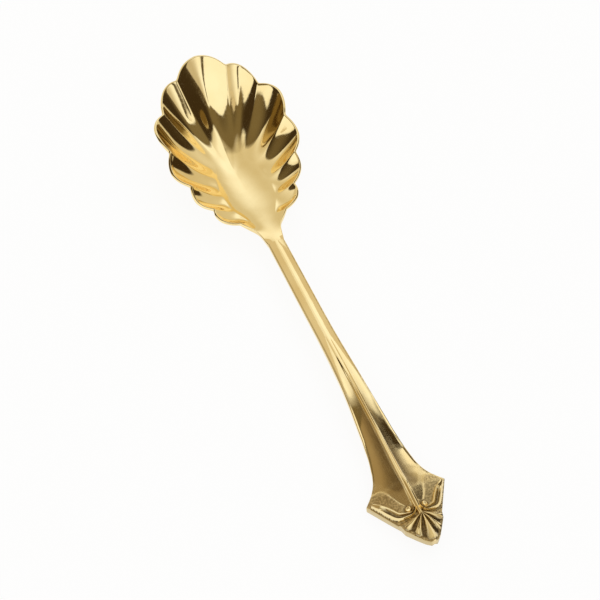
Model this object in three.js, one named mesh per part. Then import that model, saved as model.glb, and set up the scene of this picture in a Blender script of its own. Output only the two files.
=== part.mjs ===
// Serving spoon with a scalloped shell bowl, a ridged stem and a fan-shaped handle end.
// Millimetres. +X points to the bowl's tip, +Y to the spoon's left, +Z up, and z = 0 is the table.
import * as THREE from "three";
import { mergeVertices } from "three/addons/utils/BufferGeometryUtils.js";

// Overall heights
const STEM_TOP = 10.6;           // ridge of the stem above the table, near the bowl
const HANDLE_RISE = 1.2;         // how much higher the ridge stands at the handle's middle
const TIP_DROP = 2.6;            // how far the ridge falls again towards the handle's tip
const NECK_DEPTH = 2.9;          // from the ridge down to the underside at the neck
const END_DEPTH = 4.3;           // and at the handle's corners
const TIP_THIN = 1.2;            // how much thinner the handle is at its tip
const FACET_DROP = 0.75;         // fall of the plain stem's two facets
const FACET_CURVE = 1.5;         // power of that fall

// Places along the spoon
const NECK_X = -36;              // brazed seam of bowl and stem
const THROAT_LENGTH = 7;         // from that seam to where the bowl begins to open
const STEM_LENGTH = 102;
const JOINT_X = NECK_X - STEM_LENGTH;
const FLARE_LENGTH = 18.7;       // from the seam of stem and end piece to the end's corners
const CORNER_X = JOINT_X - FLARE_LENGTH;
const SCARF = 0.8;               // slope of the neck's seam; the end piece is butted square to the stem
const SEAM_MID_Z = STEM_TOP - NECK_DEPTH / 2;

// Bowl: half of its rim from the tip to the neck, then the spine under each of those places
const NECK_HALF = 3.5;
const TIP_NOTCH = [41, 0, 31.2];
const RIM_NOTCHES = [
  [39.2, 10.4, 30.3], [29.5, 20.2, 25], [12, 24.2, 22.8], [-3.5, 21.9, 18.3],
  [-14.4, 16.9, 13.8], [-23.6, 9.4, 11.7], [NECK_X + THROAT_LENGTH, 5.2, 10.6],
  [NECK_X, NECK_HALF, STEM_TOP - FACET_DROP],
];
const SPINE_X = [8, 6.5, 4, 0, -6.5, -14.5, -22.5, NECK_X + THROAT_LENGTH, NECK_X];
const SPINE_Z = [5.2, 5.2, 5.2, 5.5, 6.1, 7.2, 8.7, 9.8, STEM_TOP];
const SPINE_WALL = [5.8, 5.8, 5.8, 6.1, 5, 3.4, 2.4, 2.2, NECK_DEPTH];
const RIM_WALL = 1.2;
const WALL_CURVE_TIP = 1.9;      // power of the wall's rise at the tip
const WALL_CURVE_SIDE = 2.3;     // and along the sides
const WALL_CHANGE_FROM = 1.8;    // lobes between which it changes
const WALL_CHANGE_TO = 3.6;
const SPINE_ROUND = 0.4;         // how far the wall's rise is eased at the spine

// Flutes, one value for each lobe from the tip to the neck
const FLUTE_DEPTH = [2.3, 1.5, 1.9, 3.1, 2.1, 1.7];
const LOBES = FLUTE_DEPTH.length;
const LOBE_REACH = [0.07, 0.035, 0.07, 0.01, 0.02, 0.11];
const FLUTE_START = [0.26, 0.26, 0.28, 0.32, 0.34, 0.38, 0.4];
const FLUTE_FULL = [0.7, 0.7, 0.78, 0.95, 1, 1, 1];
const EVEN_FROM = 1.6;           // lobes where the flutes begin to deepen evenly
const EVEN_TO = 3.2;
const GOUGE = 0.6;               // how abruptly the last flutes begin beside the tongue, 1 is evenly
const GOUGE_FROM = 3.2;
const GOUGE_TO = 4.6;
const CREST_SOFT = 0.7;          // how far the crests between flutes are rounded near the spine
const CREST_FROM = 0.6;          // and where they sharpen towards the rim
const CREST_TO = 1;

// Handle: distance from the neck or from the end's corners, half width, and the edge's fall below the ridge
const CORNER_HALF = 15.8;
const CORNER_DROP = 7.8;
const STEM_SIDE = [[0, NECK_HALF, FACET_DROP], [19, 3.6, FACET_DROP], [47, 3.75, 0.8]];
const FLARE_SIDE = [
  [58, 4.2, 1.25], [43, 4.95, 2.6], [25, 6.4, 4.1], [17, 7.4, 5], [10.5, 8.75, 6.1], [7, 10.1, 6.6],
  [3.4, 12.5, 7.2], [0, CORNER_HALF, CORNER_DROP],
];
const HANDLE_SIDE = [
  ...STEM_SIDE.map(([from, half, drop]) => [NECK_X - from, half, drop]),
  ...FLARE_SIDE.map(([from, half, drop]) => [CORNER_X + from, half, drop]),
];
const END_LENGTH = 24.8;         // from the corners to the tip
const TIP_X = CORNER_X - END_LENGTH;
const END_SIDE = [[11.3, 8.3], [8.9, 7.7], [4.9, 5.2], [1.7, 3.1], [0, 1.6]]; // from the tip, half width
const END_EDGE = [[CORNER_X, CORNER_HALF], ...END_SIDE.map(([from, half]) => [TIP_X + from, half])];
const RISE_FROM_NECK = 34;       // the ridge climbs between these two places
const RISE_TO_CORNER = 36;
const RISE_START = NECK_X - RISE_FROM_NECK;
const RISE_END = CORNER_X + RISE_TO_CORNER;
const THICKEN_FROM_NECK = 24;    // the handle thickens between these two
const THICKEN_TO_CORNER = 26;
const THICKEN_START = NECK_X - THICKEN_FROM_NECK;
const THICKEN_END = CORNER_X + THICKEN_TO_CORNER;
const THIN_FROM_CORNER = 6;      // and grows thinner from here to the tip
const THIN_START = CORNER_X - THIN_FROM_CORNER;
const DIP_FROM_CORNER = 6;       // the ridge falls again from here past the tip
const DIP_PAST_TIP = 4;
const DIP_START = CORNER_X + DIP_FROM_CORNER;
const DIP_END = TIP_X - DIP_PAST_TIP;
const COVE_LENGTH = 63;          // the hollows beside the rib begin this far from the corners
const COVE_FULL_LENGTH = 18;
const COVE_START = CORNER_X + COVE_LENGTH;
const COVE_FULL = CORNER_X + COVE_FULL_LENGTH;
const COVE_CURVE = 0.82;
const RIB_HEIGHT = 1.1;
const RIB_TOP = 0.3;             // half width of the rib's crown
const RIB_FOOT = 1.15;           // half width at its foot
const RIB_FADE = 1.2;
const UNDER_INSET = 0.3;

// Applied ornament on the handle's end
const SEAT_GAP = 0.3;
const BEAD_RADIUS = 1.5;
const BEAD_HEIGHT = 1.3;
const BEAD_FROM_CORNER = 9;
const BEAD_OUT = 3.3;
const BEAD_AT = [CORNER_X - BEAD_FROM_CORNER, BEAD_OUT];
const CURL_CLEARANCE = 1.25;
const CURL_RADIUS = BEAD_RADIUS + CURL_CLEARANCE;
const CURL_ANGLES = [146, 190, 223, 252];
const SCROLL_INSETS = [[1.6, 1], [5.6, 1.6], [9.2, 2], [12.6, 2.6]]; // along the end's edge, and in from it
const SCROLL_HALF = [0.8, 1.5, 1.8, 1.6, 1.1, 0.85, 0.7, 0.5];
const SCROLL_FLOOR = 0.3;
const SCROLL_BORDER = 1.1;
const SCROLL_RIDGE = 0.66;       // place of a border's crown, as a share of the scroll's half width
const SCROLL_RIDGE_WIDTH = 0.29;
const FAN_CLEARANCE = 1.55;
const FAN_HUB = BEAD_AT[0] - CURL_RADIUS - FAN_CLEARANCE;
const FAN_MARGIN = 0.3;
const RIB_END = FAN_HUB + FAN_MARGIN;
const FAN_HALF_ANGLE = 82;
const PETAL_ANGLES = [-70, -36, 0, 36, 70];
const PETAL_HALF_ANGLE = 15;
const PETAL_HEIGHT = 1.2;
const HUB_SHARE = 0.45;          // height of the petals at the hub and at their ends
const END_SHARE = 0.65;
const FAN_FLOOR = 0.3;

// Steps of the meshes
const LOBE_STEPS = 6;
const NECK_STEPS = 6;
const WALL_STEPS = [0, 0.12, 0.24, 0.35, 0.45, 0.55, 0.65, 0.74, 0.83, 0.92, 1];
const STEM_STEPS = 26;
const FLARE_STEPS = 10;
const END_STEPS = 3;
const RIB_STEPS = [0, 0.25, 0.5, 0.75, 1]; // rings where the rib fades out
const COVE_STEPS = 5;

const clamp = THREE.MathUtils.clamp;
const smooth = (x, from, to) => {
  const k = clamp((x - from) / (to - from), 0, 1);
  return k * k * (3 - 2 * k);
};
const mix = (a, b, k) => a + (b - a) * k;

// A smooth curve through a list of numbers, with t counting its entries
function through(values, t, before = 2 * values[0] - values[1]) {
  const last = values.length - 1;
  const i = Math.min(Math.floor(clamp(t, 0, last)), last - 1);
  const f = clamp(t, 0, last) - i;
  const b = values[i];
  const c = values[i + 1];
  const a = i > 0 ? values[i - 1] : before;
  const d = i + 2 <= last ? values[i + 2] : 2 * c - b;
  const cubic = 3 * b - a - 3 * c + d;
  return 0.5 * (2 * b + (c - a) * f + (2 * a - 5 * b + 4 * c - d) * f * f + cubic * f * f * f);
}
const column = (rows, k) => rows.map((row) => row[k]);

// Closed mesh from quads and triangles of points, welded and turned to face outwards
function closedMesh(name, faces, material) {
  const positions = [];
  for (const face of faces) {
    for (let k = 2; k < face.length; k += 1) {
      positions.push(...face[0], ...face[k - 1], ...face[k]);
    }
  }
  const loose = new THREE.BufferGeometry();
  loose.setAttribute("position", new THREE.Float32BufferAttribute(positions, 3));
  const welded = mergeVertices(loose, 1e-3);
  const corner = welded.index.array;
  const at = (i) => new THREE.Vector3().fromBufferAttribute(welded.attributes.position, i);
  const kept = [];
  let volume = 0;
  for (let i = 0; i < corner.length; i += 3) {
    const [a, b, c] = [corner[i], corner[i + 1], corner[i + 2]];
    if (a !== b && b !== c && a !== c) {
      kept.push([a, b, c]);
      volume += at(a).dot(at(b).cross(at(c)));
    }
  }
  welded.setIndex(kept.flatMap(([a, b, c]) => (volume > 0 ? [a, b, c] : [a, c, b])));
  welded.computeVertexNormals();
  const mesh = new THREE.Mesh(welded, material);
  mesh.name = name;
  return mesh;
}

// Quads between neighbouring rows of points, reversed for the mirrored half
function skin(rows, reversed = false) {
  const faces = [];
  for (let i = 0; i + 1 < rows.length; i += 1) {
    for (let j = 0; j + 1 < rows[i].length; j += 1) {
      const face = [rows[i][j], rows[i + 1][j], rows[i + 1][j + 1], rows[i][j + 1]];
      faces.push(reversed ? face.reverse() : face);
    }
  }
  return faces;
}

// A lid on a loop of points, cut into triangles as it is seen along X
function lid(loop, reversed) {
  const outline = loop.map(([, y, z]) => new THREE.Vector2(y, z));
  const triangles = THREE.ShapeUtils.triangulateShape(outline, []);
  return triangles.map((t) => (reversed ? [...t].reverse() : t).map((i) => loop[i]));
}

// A thin plate: a top grid over a bottom grid, with walls round the sides
function plate(name, top, bottom, material) {
  const ends = [0, top.length - 1];
  const faces = [...skin(top), ...skin(bottom, true)];
  faces.push(...skin([bottom[ends[0]], top[ends[0]]]), ...skin([top[ends[1]], bottom[ends[1]]]));
  const sides = [0, top[0].length - 1];
  const edge = (grid, j) => grid.map((row) => row[j]);
  faces.push(...skin([edge(top, sides[0]), edge(bottom, sides[0])]));
  faces.push(...skin([edge(bottom, sides[1]), edge(top, sides[1])]));
  return closedMesh(name, faces, material);
}

// Materials
const polished = new THREE.MeshStandardMaterial({ color: 0xd9b25c, metalness: 1, roughness: 0.16 });
const struck = new THREE.MeshStandardMaterial({ color: 0xb8924a, metalness: 1, roughness: 0.38 });
const relief = new THREE.MeshStandardMaterial({ color: 0xcda552, metalness: 1, roughness: 0.24 });

// Bowl: places along the rim are counted in notches, and s runs from the spine to the rim
const rimRows = [TIP_NOTCH, ...RIM_NOTCHES];
const NECK_PLACE = rimRows.length - 1;
const rimBefore = [RIM_NOTCHES[0][0], -RIM_NOTCHES[0][1], RIM_NOTCHES[0][2]];

function dish(signedPlace, s) {
  const place = Math.abs(signedPlace);
  const rim = [0, 1, 2].map((k) => through(column(rimRows, k), place, rimBefore[k]));
  const x = through(SPINE_X, place);
  const z = through(SPINE_Z, place);
  const side = mix(WALL_CURVE_TIP, WALL_CURVE_SIDE, smooth(place, WALL_CHANGE_FROM, WALL_CHANGE_TO));
  const power = mix(side, FACET_CURVE, smooth(place, LOBES, NECK_PLACE));
  const round = SPINE_ROUND * (1 - smooth(place, LOBES + 1, NECK_PLACE));
  const eased = (k) => (k * k + round * round) ** (power / 2);
  const climb = (eased(s) - eased(0)) / (eased(1) - eased(0));
  return new THREE.Vector3(mix(x, rim[0], s), Math.sign(signedPlace) * rim[1] * s, mix(z, rim[2], climb));
}

function dishNormal(place, s) {
  const step = 1e-3;
  const inside = Math.max(s, 0.02);
  const along = dish(Math.min(place + step, NECK_PLACE), inside).sub(dish(place - step, inside));
  const across = dish(place, inside + step).sub(dish(place, inside));
  const normal = along.cross(across).normalize();
  if (normal.z < 0) normal.negate();
  normal.y *= smooth(s, 0, 0.12);
  return normal.lerp(new THREE.Vector3(0, 0, 1), smooth(place, LOBES, NECK_PLACE)).normalize();
}

// Rounded trough of a lobe: 1 in its middle, 0 at the creases beside it and along the neck
function trough(place, s) {
  if (place >= LOBES) return 0;
  const across = Math.abs(place < 1 ? place : 2 * (place - Math.floor(place)) - 1);
  const bowed = 1 - across * across;
  const waved = (1 + Math.cos(Math.PI * across)) / 2;
  return mix(bowed, waved, CREST_SOFT * (1 - smooth(s, CREST_FROM, CREST_TO)));
}

function bowlPoints(place, s) {
  const lobe = Math.min(Math.floor(place), LOBES - 1);
  const scoop = trough(place, s);
  const reach = s * (1 + LOBE_REACH[lobe] * scoop);
  const normal = dishNormal(place, reach);
  const crease = Math.min(place, LOBES);
  const start = through(FLUTE_START, crease);
  const full = through(FLUTE_FULL, crease);
  const gouge = mix(1, GOUGE, smooth(place, GOUGE_FROM, GOUGE_TO));
  const even = clamp((reach - start) / (full - start), 0, 1) ** gouge;
  const grown = mix(smooth(reach, start, full), even, smooth(place, EVEN_FROM, EVEN_TO));
  const inner = dish(place, reach).addScaledVector(normal, -FLUTE_DEPTH[lobe] * scoop * grown);
  const neck = smooth(place, LOBES, NECK_PLACE);
  const thin = smooth(s, 0.2, 1) * (1 - smooth(place, LOBES, LOBES + 1));
  const facet = FACET_DROP * s ** FACET_CURVE * neck;
  const wall = mix(through(SPINE_WALL, place), RIM_WALL, thin) - facet;
  const outer = inner.clone().addScaledVector(normal, -wall);
  outer.z = Math.max(outer.z, 0);
  outer.y *= 1 - (neck * UNDER_INSET) / NECK_HALF;
  if (place === NECK_PLACE) {
    inner.x += SCARF * (inner.z - SEAM_MID_Z);
    outer.x += SCARF * (outer.z - SEAM_MID_Z);
  }
  return [inner.toArray(), outer.toArray()];
}

function makeBowl() {
  const places = [];
  for (let lobe = 0; lobe < LOBES; lobe += 1) {
    for (let k = 0; k < LOBE_STEPS; k += 1) places.push(lobe + k / LOBE_STEPS);
  }
  for (let k = 0; k <= NECK_STEPS; k += 1) places.push(mix(LOBES, NECK_PLACE, k / NECK_STEPS));
  const faces = [];
  for (const side of [1, -1]) {
    const mirrored = (p) => [p[0], side * p[1], p[2]];
    const veins = places.map((place) => {
      const pairs = WALL_STEPS.map((s) => bowlPoints(place, s).map(mirrored));
      return [...pairs.map((p) => p[0]), ...pairs.map((p) => p[1]).reverse()];
    });
    faces.push(...skin(veins, side < 0));
    const end = veins[veins.length - 1];
    const half = WALL_STEPS.length;
    faces.push(...skin([end.slice(0, half), end.slice(half).reverse()], side < 0));
  }
  return closedMesh("bowl", faces, polished);
}

// Handle: height of the ridge, and of the top and the underside beside it
function ridge(x) {
  return STEM_TOP + HANDLE_RISE * smooth(x, RISE_START, RISE_END) - TIP_DROP * smooth(x, DIP_START, DIP_END);
}

function handleTop(x, y, half, drop) {
  const out = Math.abs(y);
  const rib = RIB_HEIGHT * smooth(out, RIB_TOP, RIB_FOOT) * smooth(x, RIB_END, RIB_END + RIB_FADE);
  const cove = rib + Math.max(drop - RIB_HEIGHT, 0) * (out / half) ** COVE_CURVE;
  const facet = FACET_DROP * (out / half) ** FACET_CURVE;
  return ridge(x) - mix(facet, cove, smooth(x, COVE_START, COVE_FULL));
}

function handleUnder(x, y, half, drop) {
  const arch = Math.max(drop - FACET_DROP, 0) * (Math.abs(y) / half) ** COVE_CURVE;
  const thin = TIP_THIN * smooth(x, THIN_START, TIP_X);
  const depth = mix(NECK_DEPTH, END_DEPTH, smooth(x, THICKEN_START, THICKEN_END)) - thin;
  return Math.max(ridge(x) - depth - arch * smooth(x, COVE_START, COVE_FULL), 0);
}

// One ring of the handle: across the top from right to left, then back along the underside
function ring(x, width, half, drop) {
  const ribSteps = [RIB_TOP, (RIB_TOP + RIB_FOOT) / 2, RIB_FOOT];
  const ribY = ribSteps.map((y, k) => Math.min(y, width * 0.15 * (k + 1)));
  const foot = ribY[ribY.length - 1];
  const right = [0, ...ribY];
  for (let k = 1; k <= COVE_STEPS; k += 1) right.push(mix(foot, width, k / COVE_STEPS));
  const across = [...right.slice(1).reverse().map((y) => -y), ...right];
  const under = Math.max(width - UNDER_INSET, width / 2);
  const back = [1, 0.6, 0.25, -0.25, -0.6, -1].map((k) => k * under);
  return [
    ...across.map((y) => [x, y, handleTop(x, y, half, drop)]),
    ...back.map((y) => [x, y, handleUnder(x, y, half, drop)]),
  ];
}

const scarfed = (loop) => loop.map(([x, y, z]) => [x + SCARF * (z - SEAM_MID_Z), y, z]);

function sideRing(x) {
  let k = 0;
  while (k < HANDLE_SIDE.length - 2 && HANDLE_SIDE[k + 1][0] > x) k += 1;
  const t = k + (HANDLE_SIDE[k][0] - x) / (HANDLE_SIDE[k][0] - HANDLE_SIDE[k + 1][0]);
  const width = through(column(HANDLE_SIDE, 1), t);
  return ring(x, width, width, through(column(HANDLE_SIDE, 2), t));
}

function loft(name, rings, material) {
  const closed = rings.map((loop) => [...loop, loop[0]]);
  const faces = [...skin(closed), ...lid(rings[0], true), ...lid(rings[rings.length - 1], false)];
  return closedMesh(name, faces, material);
}

function makeStem() {
  const rings = [];
  for (let k = 0; k <= STEM_STEPS; k += 1) rings.push(sideRing(mix(NECK_X, JOINT_X, k / STEM_STEPS)));
  rings[0] = scarfed(rings[0]);
  return loft("stem", rings, polished);
}

// Half width of the handle's end between its corners and its tip
function endHalf(x) {
  let k = 0;
  while (k < END_EDGE.length - 2 && END_EDGE[k + 1][0] > x) k += 1;
  const [from, to] = [END_EDGE[k], END_EDGE[k + 1]];
  return mix(from[1], to[1], (from[0] - x) / (from[0] - to[0]));
}

function makeEndPiece() {
  const rings = [];
  for (let k = 0; k <= FLARE_STEPS; k += 1) rings.push(sideRing(mix(JOINT_X, CORNER_X, k / FLARE_STEPS)));
  const places = RIB_STEPS.map((k) => RIB_END + RIB_FADE * k);
  for (let k = 0; k + 1 < END_EDGE.length; k += 1) {
    for (let step = 1; step <= END_STEPS; step += 1) {
      places.push(mix(END_EDGE[k][0], END_EDGE[k + 1][0], step / END_STEPS));
    }
  }
  places.sort((a, b) => b - a);
  for (const x of places) rings.push(ring(x, endHalf(x), CORNER_HALF, CORNER_DROP));
  return loft("end_piece", rings, struck);
}

// Ornament: each piece lies just above the end piece's top and follows it
const seat = (x, y) => handleTop(x, y, CORNER_HALF, CORNER_DROP) + SEAT_GAP;

// Middle line of the left scroll: along the end's edge from the corner, then round the bead
function scrollPath() {
  const [corner, notch] = END_EDGE;
  const length = Math.hypot(notch[0] - corner[0], notch[1] - corner[1]);
  const [ux, uy] = [(notch[0] - corner[0]) / length, (notch[1] - corner[1]) / length];
  const edge = SCROLL_INSETS.map(([along, inset]) => [
    corner[0] + ux * along - uy * inset, corner[1] + uy * along + ux * inset,
  ]);
  const curl = CURL_ANGLES.map((degrees) => {
    const angle = THREE.MathUtils.degToRad(degrees);
    return [BEAD_AT[0] + CURL_RADIUS * Math.cos(angle), BEAD_AT[1] + CURL_RADIUS * Math.sin(angle)];
  });
  return [...edge, ...curl];
}

function makeScroll(name, side) {
  const path = scrollPath();
  const along = 28;
  const across = [-1, -0.84, -0.66, -0.45, -0.2, 0.2, 0.45, 0.66, 0.84, 1];
  const top = [];
  const bottom = [];
  for (let i = 0; i <= along; i += 1) {
    const t = (i / along) * (path.length - 1);
    const at = (u) => [0, 1].map((k) => through(column(path, k), u));
    const [x, y] = at(t);
    const [x0, y0] = at(Math.max(t - 0.05, 0));
    const [x1, y1] = at(Math.min(t + 0.05, path.length - 1));
    const length = Math.hypot(x1 - x0, y1 - y0);
    const half = through(SCROLL_HALF, t);
    const [nx, ny] = [(half * (y1 - y0)) / length, (half * (x0 - x1)) / length];
    const points = across.map((e) => [x + e * nx, y + e * ny]);
    const border = (e) => Math.exp(-(((Math.abs(e) - SCROLL_RIDGE) / SCROLL_RIDGE_WIDTH) ** 2));
    bottom.push(points.map(([px, py]) => [px, side * py, seat(px, py)]));
    top.push(points.map(([px, py], j) => {
      const height = SCROLL_FLOOR + SCROLL_BORDER * border(across[j]);
      return [px, side * py, seat(px, py) + height];
    }));
  }
  return plate(name, top, bottom, relief);
}

function makeBead(name, side) {
  const around = 16;
  const rings = [0, 0.4, 0.7, 0.9, 1];
  const top = [];
  const bottom = [];
  for (const r of rings) {
    const circle = [];
    for (let i = 0; i <= around; i += 1) {
      const a = (i / around) * 2 * Math.PI;
      circle.push([BEAD_AT[0] + BEAD_RADIUS * r * Math.cos(a), BEAD_AT[1] + BEAD_RADIUS * r * Math.sin(a)]);
    }
    const rise = 0.1 + BEAD_HEIGHT * Math.sqrt(1 - r * r);
    bottom.push(circle.map(([x, y]) => [x, side * y, seat(x, y)]));
    top.push(circle.map(([x, y]) => [x, side * y, seat(x, y) + rise]));
  }
  const faces = [...skin(top), ...skin(bottom, true), ...skin([top[4], bottom[4]])];
  return closedMesh(name, faces, relief);
}

// Distance from the fan's hub to the handle's edge, at an angle from the handle's axis
function fanReach(angle) {
  const ux = -Math.cos(angle);
  const uy = Math.abs(Math.sin(angle));
  let best = FAN_HUB - END_EDGE[END_EDGE.length - 1][0];
  for (let k = 0; k + 1 < END_EDGE.length; k += 1) {
    const [x0, y0] = END_EDGE[k];
    const [dx, dy] = [END_EDGE[k + 1][0] - x0, END_EDGE[k + 1][1] - y0];
    const cross = ux * dy - uy * dx;
    const t = ((x0 - FAN_HUB) * dy - y0 * dx) / cross;
    const w = ((x0 - FAN_HUB) * uy - y0 * ux) / cross;
    if (t > 0 && w >= 0 && w <= 1) best = Math.min(best, t);
  }
  return best - FAN_MARGIN;
}

function makePalmette() {
  const spokes = 68;
  const rings = [0, 0.12, 0.28, 0.5, 0.75, 0.93, 1];
  const top = [];
  const bottom = [];
  for (let i = 0; i <= spokes; i += 1) {
    const degrees = mix(-FAN_HALF_ANGLE, FAN_HALF_ANGLE, i / spokes);
    const angle = THREE.MathUtils.degToRad(degrees);
    const off = Math.min(...PETAL_ANGLES.map((p) => Math.abs(degrees - p))) / PETAL_HALF_ANGLE;
    const petal = Math.max(1 - off * off, 0);
    const reach = fanReach(angle) * (0.9 + 0.1 * petal);
    const spot = (r) => [FAN_HUB - reach * r * Math.cos(angle), -reach * r * Math.sin(angle)];
    const swell = (r) => mix(HUB_SHARE, 1, smooth(r, 0, 0.4)) * mix(1, END_SHARE, smooth(r, 0.7, 1));
    const rise = (r) => FAN_FLOOR + PETAL_HEIGHT * petal * swell(r);
    const hub = FAN_FLOOR + PETAL_HEIGHT * HUB_SHARE;
    bottom.push(rings.map((r) => [...spot(r), seat(...spot(r))]));
    top.push(rings.map((r) => [...spot(r), seat(...spot(r)) + (r === 0 ? hub : rise(r))]));
  }
  return plate("palmette", top, bottom, relief);
}

const spoon = new THREE.Group();
spoon.name = "serving_spoon";
spoon.add(makeBowl(), makeStem(), makeEndPiece(), makePalmette());
spoon.add(makeScroll("left_scroll", 1), makeScroll("right_scroll", -1));
spoon.add(makeBead("left_bead", 1), makeBead("right_bead", -1));

export default spoon;
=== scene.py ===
"""Looks of a brass serving spoon: fluted shell bowl, ridged stem, handle end with scrolls and a palmette."""
import math

import bmesh
import bpy
import numpy as np
from mathutils import Matrix, Vector


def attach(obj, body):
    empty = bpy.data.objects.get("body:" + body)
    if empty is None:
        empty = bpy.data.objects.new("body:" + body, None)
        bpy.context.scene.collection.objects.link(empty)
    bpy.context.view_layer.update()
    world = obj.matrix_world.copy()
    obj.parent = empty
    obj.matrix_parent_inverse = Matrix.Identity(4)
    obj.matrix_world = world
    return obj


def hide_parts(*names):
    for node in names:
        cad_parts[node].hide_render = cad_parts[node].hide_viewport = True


MM = 0.001
WELD = 2e-6
SLIVER = 1e-6
SHARP_ANGLE = math.radians(50)

# Overall heights in millimetres
STEM_TOP = 10.6
HANDLE_RISE = 1.2
TIP_DROP = 2.6
NECK_DEPTH = 2.9
END_DEPTH = 4.3
TIP_THIN = 1.2
FACET_DROP = 0.75
FACET_CURVE = 1.5

# Places along the spoon, +X towards the bowl's tip
NECK_X = -36.0
THROAT_LENGTH = 7.0
JOINT_X = -138.0
CORNER_X = -156.7
TIP_X = -181.5

# Bowl: rim and spine from the tip to the neck. A place in the bowl counts their entries
NECK_HALF = 3.5
RIM = np.array([
    [41, 0, 31.2], [39.2, 10.4, 30.3], [29.5, 20.2, 25], [12, 24.2, 22.8], [-3.5, 21.9, 18.3],
    [-14.4, 16.9, 13.8], [-23.6, 9.4, 11.7], [NECK_X + THROAT_LENGTH, 5.2, 10.6],
    [NECK_X, NECK_HALF, STEM_TOP - FACET_DROP],
])
RIM_BEFORE = RIM[1] * [1, -1, 1]
NECK_PLACE = len(RIM) - 1
SPINE_X = [8, 6.5, 4, 0, -6.5, -14.5, -22.5, NECK_X + THROAT_LENGTH, NECK_X]
SPINE_Z = [5.2, 5.2, 5.2, 5.5, 6.1, 7.2, 8.7, 9.8, STEM_TOP]
SPINE_WALL = [5.8, 5.8, 5.8, 6.1, 5, 3.4, 2.4, 2.2, NECK_DEPTH]
SPINE_ROUND = 0.4
SPINE_LEVEL = 0.12
RIM_WALL = 1.2
WALL_THIN = (0.2, 1)
WALL_CURVE_TIP = 1.9
WALL_CURVE_SIDE = 2.3
WALL_CHANGE = (1.8, 3.6)
NORMAL_STEP = 1e-3
NORMAL_FROM = 0.02

# Flutes: one depth and reach for each lobe from the tip, one start and end for each crease
FLUTE_DEPTH = np.array([2.3, 1.5, 1.9, 3.1, 2.1, 1.7])
LOBES = len(FLUTE_DEPTH)
LOBE_REACH = np.array([0.07, 0.035, 0.07, 0.01, 0.02, 0.11])
FLUTE_START = [0.26, 0.26, 0.28, 0.36, 0.46, 0.54, 0.56]
FLUTE_FULL = [0.7, 0.7, 0.78, 0.95, 1, 1, 1]
FLUTE_EVEN = (1.6, 3.2)
CREST_SOFT = 0.7
CREST_SHARP = (0.6, 1.0)
CREASE_ROUND = 0.08
GOUGE = 0.6
GOUGE_FROM = (3.2, 4.6)

# Handle: x, half width and fall of the edge below the ridge
CORNER_HALF = 15.8
CORNER_DROP = 7.8
HANDLE_SIDE = np.array([
    [NECK_X, NECK_HALF, FACET_DROP], [NECK_X - 19, 3.6, FACET_DROP], [NECK_X - 47, 3.75, 0.8],
    [CORNER_X + 58, 4.2, 1.25], [CORNER_X + 43, 4.95, 2.6], [CORNER_X + 25, 6.4, 4.1],
    [CORNER_X + 17, 7.4, 5], [CORNER_X + 10.5, 8.75, 6.1], [CORNER_X + 7, 10.1, 6.6],
    [CORNER_X + 3.4, 12.5, 7.2],
    [CORNER_X, CORNER_HALF, CORNER_DROP],
])
END_EDGE = np.array([
    [CORNER_X, CORNER_HALF], [TIP_X + 11.3, 8.3], [TIP_X + 8.9, 7.7], [TIP_X + 4.9, 5.2], [TIP_X + 1.7, 3.1],
    [TIP_X, 1.6],
])
RISE = (NECK_X - 34, CORNER_X + 36)
DIP = (CORNER_X + 6, TIP_X - 4)
THICKEN = (NECK_X - 24, CORNER_X + 26)
THIN = (CORNER_X - 6, TIP_X)
UNDER_INSET = 0.3
LEAST_HALF = 0.1
EDGE_BULGE = 0.4
EDGE_SHARP = 5.0
RIM_SHARP = 2.3

# Facets, coves, rib and lip on top of the handle
FACET_EVEN = 0.5
FACET_CREASE = (NECK_X, NECK_X - 4)
COVE = (CORNER_X + 63, CORNER_X + 18)
COVE_SLANT = 12
COVE_CURVE = 0.82
COVE_EASE = 0.24
COVE_EASE_IN = (CORNER_X + 28, CORNER_X + 17)
COVE_EASE_OUT = (CORNER_X - 1, CORNER_X + 6)
RIB_HEIGHT = 1.1
RIB_TOP = (0.4, 0.85)
RIB_TIP = 0.4
RIB_SIDE = 0.65
RIB_GROW = (CORNER_X + 26, CORNER_X - 9)
RIB_FADE = 1.0
EDGE_LIP = 0.9
LIP_IN = (CORNER_X + 52, CORNER_X + 30)
LIP_OUT = (CORNER_X + 0.5, CORNER_X + 4)

# Struck ground round the ornament and the ramp down to it: pairs go from beside the rib to the corners
OUTWARD = (3, 9.5)
GROUND_STEP = 0.3
GROUND_START = (CORNER_X - 7, CORNER_X + 3.5)
GROUND_SOFT = 0.5
RAMP = 0.25
RAMP_START = (CORNER_X - 1, CORNER_X + 8)
RAMP_FAR = CORNER_X + 26
RAMP_CURVE = 4

# Painted shade along the edges and on the end's walls, painted shadow round the beads, darkening beside the
# rib, and satin of the handle, as shares
SATIN = 0.5
SATIN_SOFT = 1
FOOT_DARKENING = (0.25, 0.75)
WALL_SHADE = 0.48
WALL_SHADE_FROM = (CORNER_X + 0.5, CORNER_X - 0.5)
EDGE_SHADE = 0.7
EDGE_LINE = (0.77, 0.86)
EDGE_LINE_IN = (CORNER_X + 14, CORNER_X + 40)
EDGE_LINE_LIP = 1.2
BEAD_SHADOW = 1.0
BEAD_RING = (1.2, 2.5)

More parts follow.
